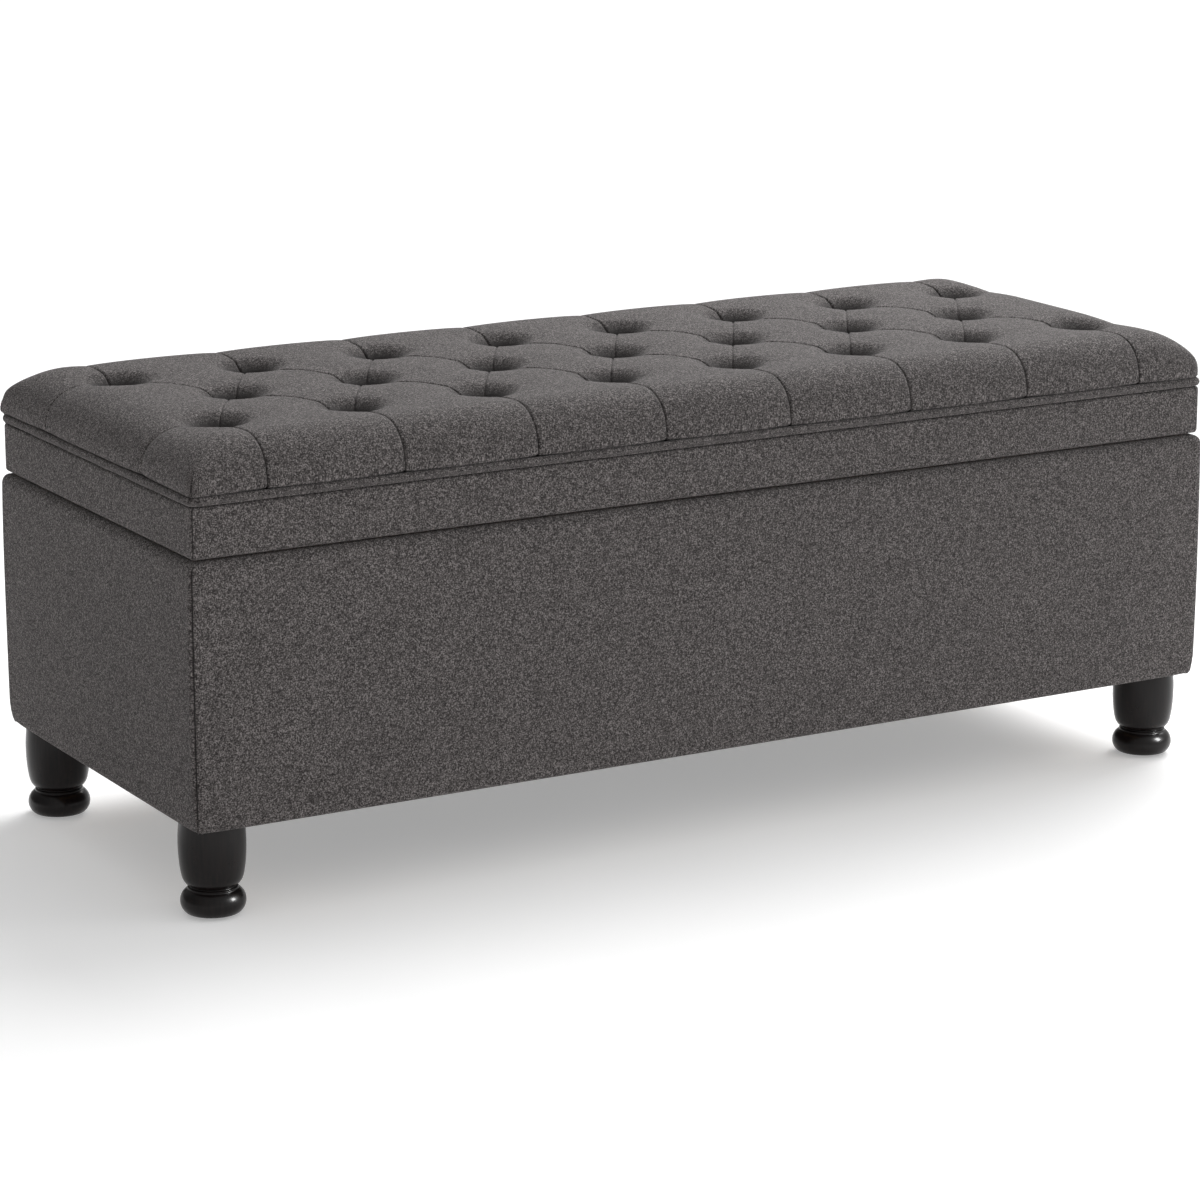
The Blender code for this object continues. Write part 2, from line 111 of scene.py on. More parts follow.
# Seams: valleys in the cloth along the diamonds, down the faces and up each corner
SEAM_WIDTH = 0.0009
SEAM_SHARPNESS = 1.3
TOP_SEAM = 0.0005  # depth on the crown
SIDE_SEAM = 0.0009  # more depth on the faces
TUFT_SEAM = 0.0024  # more depth where a seam runs into a well
TUFT_REACH = 0.046
END_SEAM = 0.40  # how strong the seams across the ends are beside the others
END_SEAM_START = 0.6  # in well radii from the last tuft
TOP_LAP = 0.0002  # how far one panel lies over its neighbour at a seam
SIDE_LAP = 0.0006
LAP_WIDTH = 0.005
DART_DEPTH = 0.0016
DART_WIDTH = 0.0016
DART_HEIGHT = 0.015
AWAY = 0.05  # added to a point's distance from a dart that its face doesn't have

# Share of painted shade that the cloth's material gets in seams, darts and wells
SEAM_SHADE_WIDTH = 0.0005
TOP_SHADE, SIDE_SHADE, TUFT_SHADE, MOST_SHADE = 0.16, 0.60, 0.72, 0.88
DART_SHADE_WIDTH = 0.0008
# Painted shade in the wells, darkest down towards the button
WELL_SHADE = 0.95
WELL_SHADE_FROM = 0.44  # depth share at which a well has its full shade
WELL_SHADE_POWER = 1.25
TUCKED_SHADE = 0.9  # painted shade behind the piping

# Rings of the skirt that turns in behind the piping: (inset, drop)
SKIRT = ((0.0012, 0.0014), (0.0040, 0.0030), (0.0066, 0.0052), (0.0070, 0.0080), (0.0072, 0.0134))
SKIRT_FADE = 0.7  # how slowly puff and seams die out down the skirt


def gather(t):
    """Maps 0..1 onto itself with the steps closer together at both ends."""
    return t - SEAM_PULL * np.sin(2 * pi * t) / (2 * pi)


def fullness(distance):
    """0 at a seam, rising to 1 half a tuft pitch away."""
    near = np.clip(distance / (TUFT_PITCH / 2), 0, 1)
    return 1 - (1 - near) ** 2


def pad_row_heads():
    """One entry per lattice row from front to rear: (kind, side, y, arc, step)."""
    flat = PAD_OUT_Y - SHOULDER
    rows = []
    for i in range(SHOULDER_STEPS):
        arc = (1 - i / SHOULDER_STEPS) * pi / 2
        rows.append(("strip", -1, -(flat + SHOULDER * sin(arc)), arc, 0))
    spans = round((flat - TUFT_ROW_Y) / (TUFT_ROW_Y / LATTICE))
    for i in range(spans):
        t = i / spans
        t = t + EDGE_PULL * sin(pi * t) / pi
        rows.append(("strip", -1, -flat + (flat - TUFT_ROW_Y) * t, 0.0, 0))
    for k in range(LATTICE + 1):
        rows.append(("lattice", -1, 0.0, 0.0, k))
    back = [(kind, 1, -y, -arc, k) for kind, _, y, arc, k in rows[:-1]]
    return rows + back[::-1]


def barycentric(a, b):
    """Weights of a triangle's corners, drawn towards its edges and corners."""
    shares = [float(gather(v)) for v in (a, b, 1 - a - b)]
    return [share / sum(shares) for share in shares]


def inner_row(kind, side, y, k):
    """Points of one row between the end seams: x, y, fullness, seam distance and seam side."""
    first = -LAST_TUFT_X
    cells = TUFT_COLUMNS - 1
    xs, ys, full, gap, lean = [], [], [], [], []

    def put(x, py, q, d, s):
        xs.append(x)
        ys.append(py)
        full.append(q)
        gap.append(d)
        lean.append(s)

    if kind == "strip":
        for j in range(cells * LATTICE + 1):
            cell, t = divmod(j / LATTICE, 1)
            w = float(gather(t))
            d = min(w, 1 - w) * TUFT_PITCH
            put(first + (cell + w) * TUFT_PITCH, y, 4 * w * (1 - w), d, 1 if w < 0.5 else -1)
        return xs, ys, full, gap, lean

    part = k / LATTICE
    edge = hypot(TUFT_PITCH / 2, TUFT_ROW_Y)
    tall = TUFT_PITCH * TUFT_ROW_Y / edge
    for cell in range(cells):
        corner_a = (first + cell * TUFT_PITCH, 1.0)
        corner_b = (first + (cell + 1) * TUFT_PITCH, 1.0)
        tip = (first + (cell + 0.5) * TUFT_PITCH, 0.0)
        steps = LATTICE - k
        last = cell == cells - 1
        count = steps + 1 if last else steps
        for j in range(max(count, 1) if (last or steps) else 0):
            s = j / steps if steps else 0.0
            a, b, c = barycentric((1 - s) * (1 - part), s * (1 - part))
            x = a * corner_a[0] + b * corner_b[0] + c * tip[0]
            put(x, side * (a + b) * TUFT_ROW_Y, 4 * a * b, min(a, b) * tall, 1 if a > b else -1)
        if last:
            break
        tip_b = (tip[0] + TUFT_PITCH, 0.0)
        for j in range(k):
            s = j / k
            a, b, c = barycentric((1 - s) * part, s * part)
            x = a * tip[0] + b * tip_b[0] + c * corner_b[0]
            put(x, side * c * TUFT_ROW_Y, 4 * a * b, min(a, b) * tall, 1 if a > b else -1)
    return xs, ys, full, gap, lean


def end_row(kind, side, y, arc, k):
    """Points of one row beyond the last seam, right half: x, y, arc, fullness, gap, lean."""
    flat = PAD_OUT_X - END_SHOULDER
    if kind == "lattice":
        part = float(gather(k / LATTICE))
        start = LAST_TUFT_X - part * TUFT_PITCH / 2
        row_y = side * (1 - part) * TUFT_ROW_Y
    else:
        start = LAST_TUFT_X
        row_y = y
    edge = hypot(TUFT_PITCH / 2, TUFT_ROW_Y)
    out = []
    for i in range(1, END_STEPS + SHOULDER_STEPS + 1):
        if i <= END_STEPS:
            t = i / END_STEPS
            x = start + (flat - start) * (END_EASE * t + (1 - END_EASE) * t * t)
            turn = 0.0
            run = x
        else:
            turn = (i - END_STEPS) / SHOULDER_STEPS * pi / 2
            x = flat + END_SHOULDER * sin(turn)
            run = flat + END_SHOULDER * turn
        if kind == "lattice":
            to_row = TUFT_ROW_Y - abs(row_y)
            to_side = (run - start) * TUFT_ROW_Y / edge
        else:
            along = PAD_OUT_Y - SHOULDER + SHOULDER * abs(arc) if arc else abs(y)
            to_row = along - TUFT_ROW_Y
            to_side = run - start
        q = float(fullness(to_row) * fullness(to_side))
        nearer_row = to_row < to_side
        lean = (1 if (kind == "lattice") == (side > 0) else -1) if nearer_row else 1
        out.append((x, row_y, turn, q, min(to_row, to_side), lean))
    return out


def pad_points():
    """Rows of (inner count, points); a point is x, y, turn, fullness, gap, lean and arc."""
    rows = []
    for kind, side, y, arc, step in pad_row_heads():
        xs, ys, full, gap, lean = inner_row(kind, side, y, step)
        right = end_row(kind, side, y, arc, step)
        flip = -1 if kind == "strip" else 1
        left = [(-x, ey, -turn, q, d, flip * s) for x, ey, turn, q, d, s in right][::-1]
        inner = [(x, py, 0.0, q, d, s) for x, py, q, d, s in zip(xs, ys, full, gap, lean)]
        rows.append((len(inner), [(*p, arc) for p in left + inner + right]))
    return rows


def pad_faces(rows):
    """Quads where neighbouring rows match, triangles where the lattice narrows or widens."""
    faces = []
    starts = []
    total = 0
    for _, points in rows:
        starts.append(total)
        total += len(points)
    ends = END_STEPS + SHOULDER_STEPS
    for r in range(len(rows) - 1):
        a, b = starts[r], starts[r + 1]
        count_a, count_b = rows[r][0], rows[r + 1][0]
        for j in range(ends):
            faces.append((a + j, a + j + 1, b + j + 1, b + j))
            p = a + ends + count_a - 1 + j
            q = b + ends + count_b - 1 + j
            faces.append((p, p + 1, q + 1, q))
        a += ends
        b += ends
        if count_a == count_b:
            faces += [(a + j, a + j + 1, b + j + 1, b + j) for j in range(count_a - 1)]
        elif count_a > count_b:
            faces += [(a + j, a + j + 1, b + j) for j in range(count_a - 1)]
            faces += [(a + j + 1, b + j + 1, b + j) for j in range(count_b - 1)]
        else:
            faces += [(b + j, a + j, b + j + 1) for j in range(count_b - 1)]
            faces += [(a + j, a + j + 1, b + j + 1) for j in range(count_a - 1)]
    return faces, starts, total


def tuft_names():
    """The CAD names of all tuft buttons, row by row."""
    for row, count in ROWS:
        for i in range(count):
            yield f"tuft_button_{row}_{i + 1}"


def well(distance):
    """Depth share of a tuft's well: 1 at the button, 0 at its edge, with a rounded lip."""
    near = np.clip(1 - (distance - BUTTON_SEAT) / (WELL_RADIUS - BUTTON_SEAT), 0, 1)
    return 1 - (1 - near**WELL_POWER) ** (1 / WELL_POWER)


def rounded(u):
    """Height share of the pad's shoulder: 1 where it is flat, 0 at its face."""
    return np.maximum(1 - u**SHOULDER_POWER, 1e-9) ** (1 / SHOULDER_POWER)


def new_mesh_object(name, verts, faces, smooth=True):
    """A mesh object in the scene's collection."""
    mesh = bpy.data.meshes.new(name)
    mesh.from_pydata([tuple(v) for v in verts], [], faces)
    mesh.validate()
    item = bpy.data.objects.new(name, mesh)
    bpy.context.collection.objects.link(item)
    if smooth:
        mesh.shade_smooth()
    return item


def set_cloth_uv(item, uv):
    """A UV map in metres of cloth, one pair for each vertex."""
    layer = item.data.uv_layers.new(name="cloth")
    loops = np.empty(len(item.data.loops), dtype=np.int32)
    item.data.loops.foreach_get("vertex_index", loops)
    layer.data.foreach_set("uv", np.asarray(uv, dtype=np.float32)[loops].ravel())


def set_painted_shade(item, share):
    """Painted shade for each vertex, 0 to 1, kept in the 'seam' attribute: the cloth's colour is
    darkened there.
    """
    layer = item.data.attributes.get("seam") or item.data.attributes.new("seam", "FLOAT", "POINT")
    layer.data.foreach_set("value", np.asarray(share, dtype=np.float32))


def move_vertices(item, verts):
    """Gives the item's vertices new places."""
    item.data.vertices.foreach_set("co", np.asarray(verts, dtype=np.float32).ravel())
    item.data.update()


def vertex_normals(item):
    """The item's vertex normals as rows of three."""
    normals = np.empty(len(item.data.vertices) * 3, dtype=np.float32)
    item.data.vertex_normals.foreach_get("vector", normals)
    return normals.reshape(-1, 3).astype(float)


def shoulder_turns(table):
    """How far each point has turned over the end and the long shoulder: 0 flat, 1 upright."""
    return np.abs(np.sin(table[:, 2])), np.abs(np.sin(table[:, 6]))


def beside_corner(table):
    """Distance of each point from the line up the middle of its corner, with a sign."""
    return SHOULDER * (np.abs(table[:, 2]) - np.abs(table[:, 6]))


def dome(table):
    """The pad's top as a smooth dome over its plan, with ears and rounded upright corners."""
    x, y = table[:, 0], table[:, 1]
    ux, uy = shoulder_turns(table)
    over_x, over_y = rounded(ux), rounded(uy)
    both = (over_x**-CORNER_POWER + over_y**-CORNER_POWER - 1) ** (-1 / CORNER_POWER)
    z = DOME_LOW + (DOME_HIGH - DOME_LOW) * both

    # Each corner stands out a little, because the seams between draw the faces in
    size = np.where(x > 0, EAR_RIGHT, np.where(y > 0, EAR_REAR_LEFT, EAR_FRONT_LEFT))
    ear = np.exp(-((beside_corner(table) / EAR_WIDTH) ** 2)) * np.clip(1 - both**2 * EAR_FALL, 0, 1)
    ear = ear * (ux > 0) * (uy > 0) * size
    x = x + np.sign(x) * ear
    y = y + np.sign(y) * ear
    over_x = np.clip((np.abs(x) - (PAD_OUT_X - PAD_CORNER)) / PAD_CORNER, 0, 1)
    over_y = np.clip((np.abs(y) - (PAD_OUT_Y - PAD_CORNER)) / PAD_CORNER, 0, 1)
    x = x - np.sign(x) * PAD_CORNER * over_x * (1 - np.sqrt(1 - over_y**2 / 2))
    y = y - np.sign(y) * PAD_CORNER * over_y * (1 - np.sqrt(1 - over_x**2 / 2))
    return np.stack([x, y, z], 1)


def flat_cloth(table):
    """Where each point lies on the cloth before the cloth is drawn over the pad, in metres."""
    x, y, turn, arc = table[:, 0], table[:, 1], table[:, 2], table[:, 6]
    past_x = PAD_OUT_X - END_SHOULDER + END_SHOULDER * np.abs(turn)
    past_y = PAD_OUT_Y - SHOULDER + SHOULDER * np.abs(arc)
    run_x = np.where(turn == 0, x, np.sign(turn) * past_x)
    run_y = np.where(arc == 0, y, -np.sign(arc) * past_y)
    return np.stack([run_x, run_y], 1)


def boundary_loop(rows, starts):
    """The lattice's outermost points, anticlockwise seen from above."""
    lasts = [start + len(points) - 1 for start, (_, points) in zip(starts, rows)]
    loop = list(range(starts[0], lasts[0]))
    loop += lasts[:-1]
    loop += list(range(lasts[-1], starts[-1], -1))
    loop += starts[:0:-1]
    return loop


def add_skirt(verts, uv, faces, loop, table):
    """Rings below the dome's edge, turned in behind the piping, closed by one face underneath."""
    ux, uy = shoulder_turns(table[loop])
    edge = verts[loop]
    outward = np.sign(edge[:, :2]) * np.stack([ux > ON_FACE, uy > ON_FACE], 1)
    outward = outward / np.maximum(np.linalg.norm(outward, axis=1, keepdims=True), 1e-9)
    rings, ring_uv = [], []
    for inset, drop in SKIRT:
        ring = edge.copy()
        ring[:, :2] -= outward * inset
        ring[:, 2] = DOME_LOW - drop
        rings.append(ring)
        ring_uv.append(uv[loop] + outward * drop)
    total, count = len(verts), len(loop)
    ids = [loop]
    ids += [list(range(total + i * count, total + (i + 1) * count)) for i in range(len(SKIRT))]
    for upper, lower in zip(ids, ids[1:]):
        for j in range(count):
            k = (j + 1) % count
            faces.append((upper[j], lower[j], lower[k], upper[k]))
    faces.append(tuple(ids[-1][::-1]))
    return np.concatenate([verts, *rings]), np.concatenate([uv, *ring_uv])


def nearest_tuft(verts):
    """Distance from each point to the middle of the nearest tuft, seen from above."""
    reach = np.full(len(verts), np.inf)
    for name in tuft_names():
        centre = centre_of(name)
        reach = np.minimum(reach, np.hypot(verts[:, 0] - centre.x, verts[:, 1] - centre.y))
    return reach


def make_pad():
    """The tufted cover: a domed lattice with wells, seam valleys and a skirt behind the piping."""
    rows = pad_points()
    faces, starts, total = pad_faces(rows)
    table = np.array([p for _, points in rows for p in points], dtype=float)
    loop = boundary_loop(rows, starts)
    verts, uv = add_skirt(dome(table), flat_cloth(table), faces, loop, table)
    pad = new_mesh_object("seat_pad_cover", verts, faces)
    normals = vertex_normals(pad)
    set_cloth_uv(pad, uv)

    # Every skirt ring takes the values of the edge above it
    table = np.concatenate([table] + [table[loop]] * len(SKIRT))
    full, gap, lean = table[:, 3], table[:, 4], table[:, 5]
    ux, uy = shoulder_turns(table)
    side = np.maximum(ux, uy)
    beyond = np.abs(table[:, 0]) > LAST_TUFT_X + 0.002
    dart = np.abs(beside_corner(table)) + AWAY * ((ux == 0) | (uy == 0))
    low_down = verts[:, 2] < DOME_LOW + DART_HEIGHT
    reach = nearest_tuft(verts)
    depth = well(reach)
    near_tuft = np.exp(-((reach / TUFT_REACH) ** 2))
    strength = np.where(beyond & (reach > WELL_RADIUS * END_SEAM_START), END_SEAM, 1.0)

    puff = (CROWN_PUFF + (SIDE_PUFF - CROWN_PUFF) * side) * full**PUFF_POWER
    crease = (TOP_SEAM + SIDE_SEAM * side + TUFT_SEAM * near_tuft) * strength
    crease *= np.exp(-((gap / SEAM_WIDTH) ** SEAM_SHARPNESS))
    crease += DART_DEPTH * np.exp(-((dart / DART_WIDTH) ** SEAM_SHARPNESS)) * low_down
    lap = (TOP_LAP + SIDE_LAP * np.maximum(side, near_tuft)) * lean
    lap *= np.exp(-gap / LAP_WIDTH) * (gap > 1e-5)
    rings = [max(0.0, 1 - (i + 1) / len(SKIRT)) ** SKIRT_FADE for i in range(len(SKIRT))]
    fade = np.concatenate([np.ones(total), np.repeat(rings, len(loop))])
    verts = verts + normals * ((puff - crease + lap) * fade)[:, None]
    sag = SAG * np.clip(1 - reach / SAG_RADIUS, 0, 1) ** 2
    verts[:, 2] -= (WELL_DEPTH - SAG) * depth + sag
    move_vertices(pad, verts)

    # Painted shade in the cloth's colour: darker down the seams and darts, more on the faces and near
    # the tufts
    seam_shade_share = np.clip(TOP_SHADE + SIDE_SHADE * side + TUFT_SHADE * near_tuft, 0, MOST_SHADE)
    painted_seam_shade = np.exp(-((gap / SEAM_SHADE_WIDTH) ** 1.5)) * seam_shade_share * strength
    painted_dart_shade = np.exp(-((dart / DART_SHADE_WIDTH) ** 2)) * low_down
    # Painted shade: the deeper into a well, the darker the cloth
    painted_well_shade = WELL_SHADE * np.clip(depth / WELL_SHADE_FROM, 0, 1) ** WELL_SHADE_POWER
    # Painted shade on the skirt rings behind the piping
    painted_tucked_shade = np.zeros(len(verts))
    painted_tucked_shade[total + len(loop):] = TUCKED_SHADE
    set_painted_shade(pad, np.maximum.reduce([painted_seam_shade, painted_dart_shade, painted_well_shade, painted_tucked_shade]))
    return pad


# ---------------------------------------------------------------- swept upholstery around the plan


RING_SPACING = 0.008  # between points around the box and the band
CORNER_STEPS = 8
CORNER_PULL = 0.5  # how strongly the points along a side gather at its corners
FEW_STEPS = 6  # a side with no more steps than this has them evenly spaced
CORNER_SHADE_WIDTH = 0.0010
GROOVE_SHARPNESS = 1.4
CLOTH_WAVES = ((0.41, 1.0), (0.23, 0.6), (0.13, 0.35))  # (length, share)


def plan_path(half_x, half_y, corner, spacing, corner_steps):
    """Points around a rectangle, their outward directions, run lengths and distances to a corner."""
    points, outs, near = [], [], []
    sides = (
        ((half_x, -half_y), (half_x, half_y), (1, 0)),
        ((half_x, half_y), (-half_x, half_y), (0, 1)),
        ((-half_x, half_y), (-half_x, -half_y), (-1, 0)),
        ((-half_x, -half_y), (half_x, -half_y), (0, -1)),
    )
    for index, (start, end, out) in enumerate(sides):
        start = Vector(start)
        end = Vector(end)
        along = (end - start).normalized()
        length = (end - start).length
        low, high = corner, length - corner
        steps = max(2, round((high - low) / spacing))
        for i in range(steps + 1):
            t = i / steps
            t = t - CORNER_PULL * sin(2 * pi * t) / (2 * pi) if steps > FEW_STEPS else t
            run = low + (high - low) * t
            place = start + along * run
            points.append((place.x, place.y))
            outs.append(out)
            near.append(min(run, length - run))
        next_out = Vector(sides[(index + 1) % 4][2])
        centre = end - along * corner - Vector(out) * corner
        for i in range(1, corner_steps):
            angle = i / corner_steps * pi / 2
            way = Vector(out) * cos(angle) + next_out * sin(angle)
            place = centre + way * corner
            points.append((place.x, place.y))
            outs.append((way.x, way.y))
            near.append(abs(angle - pi / 4) / (pi / 4) * corner)
    points = np.array(points)
    outs = np.array(outs, dtype=float)
    steps = np.linalg.norm(np.roll(points, -1, 0) - points, axis=1)
    runs = np.concatenate([[0], np.cumsum(steps)[:-1]])
    return points, outs, runs, np.array(near)


def sweep(name, path, profile, shift, corner_shade_share=1.0):
    """Sweeps (outward, z) profile points around a path; shift moves each point outwards."""
    points, outs, runs, near = path
    count = len(points)
    half = np.abs(points).max(axis=0)  # rings drawn in past the corner radius meet in a mitre
    rings, uvs = [], []
    down = 0.0
    last = profile[0]
    for out, z in profile:
        down += hypot(out - last[0], z - last[1])
        last = (out, z)
        push = out + shift(z, runs, near)
        flat = np.clip(points + outs * push[:, None], -half - push.max(), half + push.max())
        ring = np.concatenate([flat, np.full((count, 1), z)], 1)
        rings.append(ring)
        uvs.append(np.stack([runs, np.full(count, -down)], 1))
    verts = np.concatenate(rings)
    faces = []
    for i in range(len(profile)):
        a, b = i * count, (i + 1) % len(profile) * count
        for j in range(count):
            k = (j + 1) % count
            faces.append((a + j, a + k, b + k, b + j))
    item = new_mesh_object(name, verts, faces)
    set_cloth_uv(item, np.concatenate(uvs))
    # Painted shade: the cloth's colour darkens down each sewn corner
    painted_corner_shade = np.exp(-((near / CORNER_SHADE_WIDTH) ** 2))
    set_painted_shade(item, np.tile(painted_corner_shade, len(profile)) * corner_shade_share)
    return item


def arc_points(out, z, radius, start, end, steps):
    """Profile points on an arc: 0 degrees points outwards, 90 degrees up."""
    turns = [radians(start + (end - start) * i / steps) for i in range(steps + 1)]
    return [(out + radius * cos(a), z + radius * sin(a)) for a in turns]


def drape(runs, z, seed):
    """A smooth, slow unevenness of hand-stretched cloth."""
    total = 0.0
    for index, (wave, share) in enumerate(CLOTH_WAVES):
        phase = seed * (1.7 + index) + index * 2.1
        total = total + share * np.sin(2 * pi * runs / wave + phase + 3.1 * z / wave)
    return total / 2


def bulge(z, low, high):
    """1 halfway between two heights, 0 at both and beyond them."""
    return np.clip(1 - ((z - (low + high) / 2) / ((high - low) / 2)) ** 2, 0, 1)


def corner_groove(near, depth, width):
    """How far the cloth is drawn in where it is sewn together at a corner."""
    return -depth * np.exp(-((near / width) ** GROOVE_SHARPNESS))


def make_base_cover():
    """Foam-backed cloth around the box, sewn at the corners and folded over the rim."""
    proud = 0.0004
    corner = 0.0035
    half_y = HALF_D + proud
    path = plan_path(HALF_W + proud, half_y, corner, RING_SPACING, CORNER_STEPS)
    low, high = BASE_LOW.z - 0.0040, BASE_HIGH.z
    top_round = 0.0115
    bottom_round = 0.0050
    rim_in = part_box("storage_lining")[1].y - half_y - 0.0002
    fold_low, fold_edge, fold_flat, rim_flat = 0.0018, 0.0003, 0.004, 0.003
    wall_rows, top_steps, bottom_steps = 34, 10, 7
    tuck = ((-0.0088, 0.0), (-0.0092, 0.0012), (-0.0092, 0.020))  # (outward, up), under the box

    wall = [(0.0, z) for z in np.linspace(low + bottom_round, high - top_round, wall_rows)]
    profile = [(rim_in, high - fold_low), (rim_in, high - fold_edge)]
    profile += [(rim_in + fold_flat, high), (-top_round - rim_flat, high)]
    profile += arc_points(-top_round, high - top_round, top_round, 90, 0, top_steps)[:-1]
    profile += wall[::-1]
    profile += arc_points(-bottom_round, low + bottom_round, bottom_round, 0, -90, bottom_steps)[1:]
    profile += [(out, low + up) for out, up in tuck]

    crown_size, crown_width, crown_at_corner = 0.0026, 0.030, 0.45
    groove_depth, groove_width = 0.0030, 0.0016
    roll_size, roll_from, roll_width = 0.0006, 0.006, 0.0035  # beside the corner seam
    pinch_size, pinch_width, pinch_height = 0.0050, 0.013, 0.027  # at the foot of each corner
    wave_size = 0.0005

    def shift(z, runs, near):
        level = bulge(z, low, high)
        away = 1 - np.exp(-near / crown_width)
        crown = crown_size * level * (crown_at_corner + (1 - crown_at_corner) * away)
        groove = corner_groove(near, groove_depth, groove_width) * (level > 0)
        roll = roll_size * np.exp(-(((near - roll_from) / roll_width) ** 2)) * level**0.3
        down = np.clip((low + pinch_height - z) / pinch_height, 0, 1)
        pinch = -pinch_size * np.exp(-near / pinch_width) * down**2
        wave = wave_size * drape(runs, z, 1.0) * level
        return crown + groove + roll + pinch + wave

    return sweep("base_upholstery", path, profile, shift)


def make_lid_band():
    """Padded band around the lid's frame, open along the hinge."""
    inset, corner = 0.0008, 0.0030
    out = BAND_HIGH.x - inset
    path = plan_path(out, BAND_HIGH.y - inset, corner, RING_SPACING, CORNER_STEPS)
    low, high = BAND_LOW.z, BAND_HIGH.z
    clear = 0.0006
    hem = 0.006
    knuckle_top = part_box("hinge_lid_leaf")[1].z + clear
    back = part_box("lid_frame")[1].x - out + clear
    round_low, round_high, round_steps = 0.0045, 0.0040, 6
    wall_rows = 14

    profile = [(back, low + hem), (back, low + clear), (-round_low, low)]
    profile += arc_points(-round_low, low + round_low, round_low, -90, 0, round_steps)[1:]
    profile += [(0.0, z) for z in np.linspace(low + round_low, high - round_high, wall_rows)[1:]]
    profile += arc_points(-round_high, high - round_high, round_high, 0, 80, round_steps)[1:]
    profile += [(back, high)]

    crown_size, crown_width, crown_power = 0.0010, 0.02, 0.7
    groove_depth, groove_width = 0.0018, 0.0014
    wave_size = 0.0003

    def shift(z, runs, near):
        level = bulge(z, low, high)
        crown = crown_size * level**crown_power * (1 - np.exp(-near / crown_width))
        groove = corner_groove(near, groove_depth, groove_width) * (level > 0)
        wave = wave_size * drape(runs, z, 2.0) * level
        return crown + groove + wave

    item = sweep("lid_band_upholstery", path, profile, shift)

    # Over the hinge the band's lower edge is lifted clear of the knuckles
    hinge_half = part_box("hinge_pin")[1].x + 0.003
    rear_from = BAND_HIGH.y - 0.012
    co = np.array([v.co for v in item.data.vertices])
    rear = (co[:, 1] > rear_from) & (np.abs(co[:, 0]) < hinge_half)
    co[rear, 2] = np.maximum(co[:, 2], knuckle_top)[rear]
    move_vertices(item, co)
    return item


def make_piping():
    """Cloth-covered cord around the lid, with fine puckers and painted shade on its side towards the
    lid.
    """
    radius = (PIPING_HIGH.z - PIPING_LOW.z) / 2
    centre_z = (PIPING_HIGH.z + PIPING_LOW.z) / 2
    inset, corner, spacing, corner_steps = 0.0050, 0.0075, 0.0035, 9
    path = plan_path(HALF_W - inset, HALF_D - inset, corner, spacing, corner_steps)
    sides = 16
    cord = radius * 0.97
    profile = arc_points(0.0, centre_z, cord, 0, 360 * (sides - 1) / sides, sides - 1)
    pucker_pitch, pucker_drift, pucker_size = 0.0098, 0.031, 0.00016
    slow_pitch, slow_size = 0.087, 0.00022

    def shift(z, runs, near):
        drift = 1.3 * np.sin(runs / pucker_drift)
        pucker = np.sin(2 * pi * runs / pucker_pitch + drift) * pucker_size
        slow = np.sin(2 * pi * runs / slow_pitch + 0.7) * slow_size
        return pucker + slow

    item = sweep("lid_piping_cord", path, profile, shift, corner_shade_share=0.0)
    painted_shade_reach = 0.85  # share of the radius over which painted shade darkens the cord towards the lid
    painted_lid_side_shade = np.array([max(0.0, 1 - (out / radius + 1.0) / painted_shade_reach) for out, _ in profile])
    # Painted shade on the cord's side towards the lid
    set_painted_shade(item, np.repeat(np.clip(painted_lid_side_shade, 0, 1) ** 0.5, len(path[0])))
    return item


# ---------------------------------------------------------------- turned legs, buttons


LEG_SIDES = 72
BUTTON_SIDES = 36
BUTTON_FOLDS = 9
BUTTON_FOLD_SIZE = 0.00022


def lathe(name, profile, sides, place):
    """Turns (radius, z) points about a vertical line through place; closed at both ends."""
    verts, faces = [], []
    for r, z in profile:
        for i in range(sides):
            a = 2 * pi * i / sides
            verts.append((place[0] + r * cos(a), place[1] + r * sin(a), z))
    for i in range(len(profile) - 1):
        for j in range(sides):
            k = (j + 1) % sides
            faces.append((i * sides + j, i * sides + k, (i + 1) * sides + k, (i + 1) * sides + j))
    faces.append(tuple(range(sides))[::-1])
    last = (len(profile) - 1) * sides
    faces.append(tuple(range(last, last + sides)))
    return new_mesh_object(name, verts, faces)


def smooth_curve(points, steps):
    """Catmull-Rom points through (radius, z) knots."""
    out = []
    knots = [points[0], *points, points[-1]]
    for i in range(1, len(knots) - 2):
        p0, p1, p2, p3 = (np.array(knots[i + j]) for j in (-1, 0, 1, 2))
        for s in range(steps):
            t = s / steps
            out.append(tuple(0.5 * ((2 * p1) + (p2 - p0) * t + (2 * p0 - 5 * p1 + 4 * p2 - p3) * t**2
                                    + (3 * p1 - p0 - 3 * p2 + p3) * t**3)))
    out.append(points[-1])
    return out


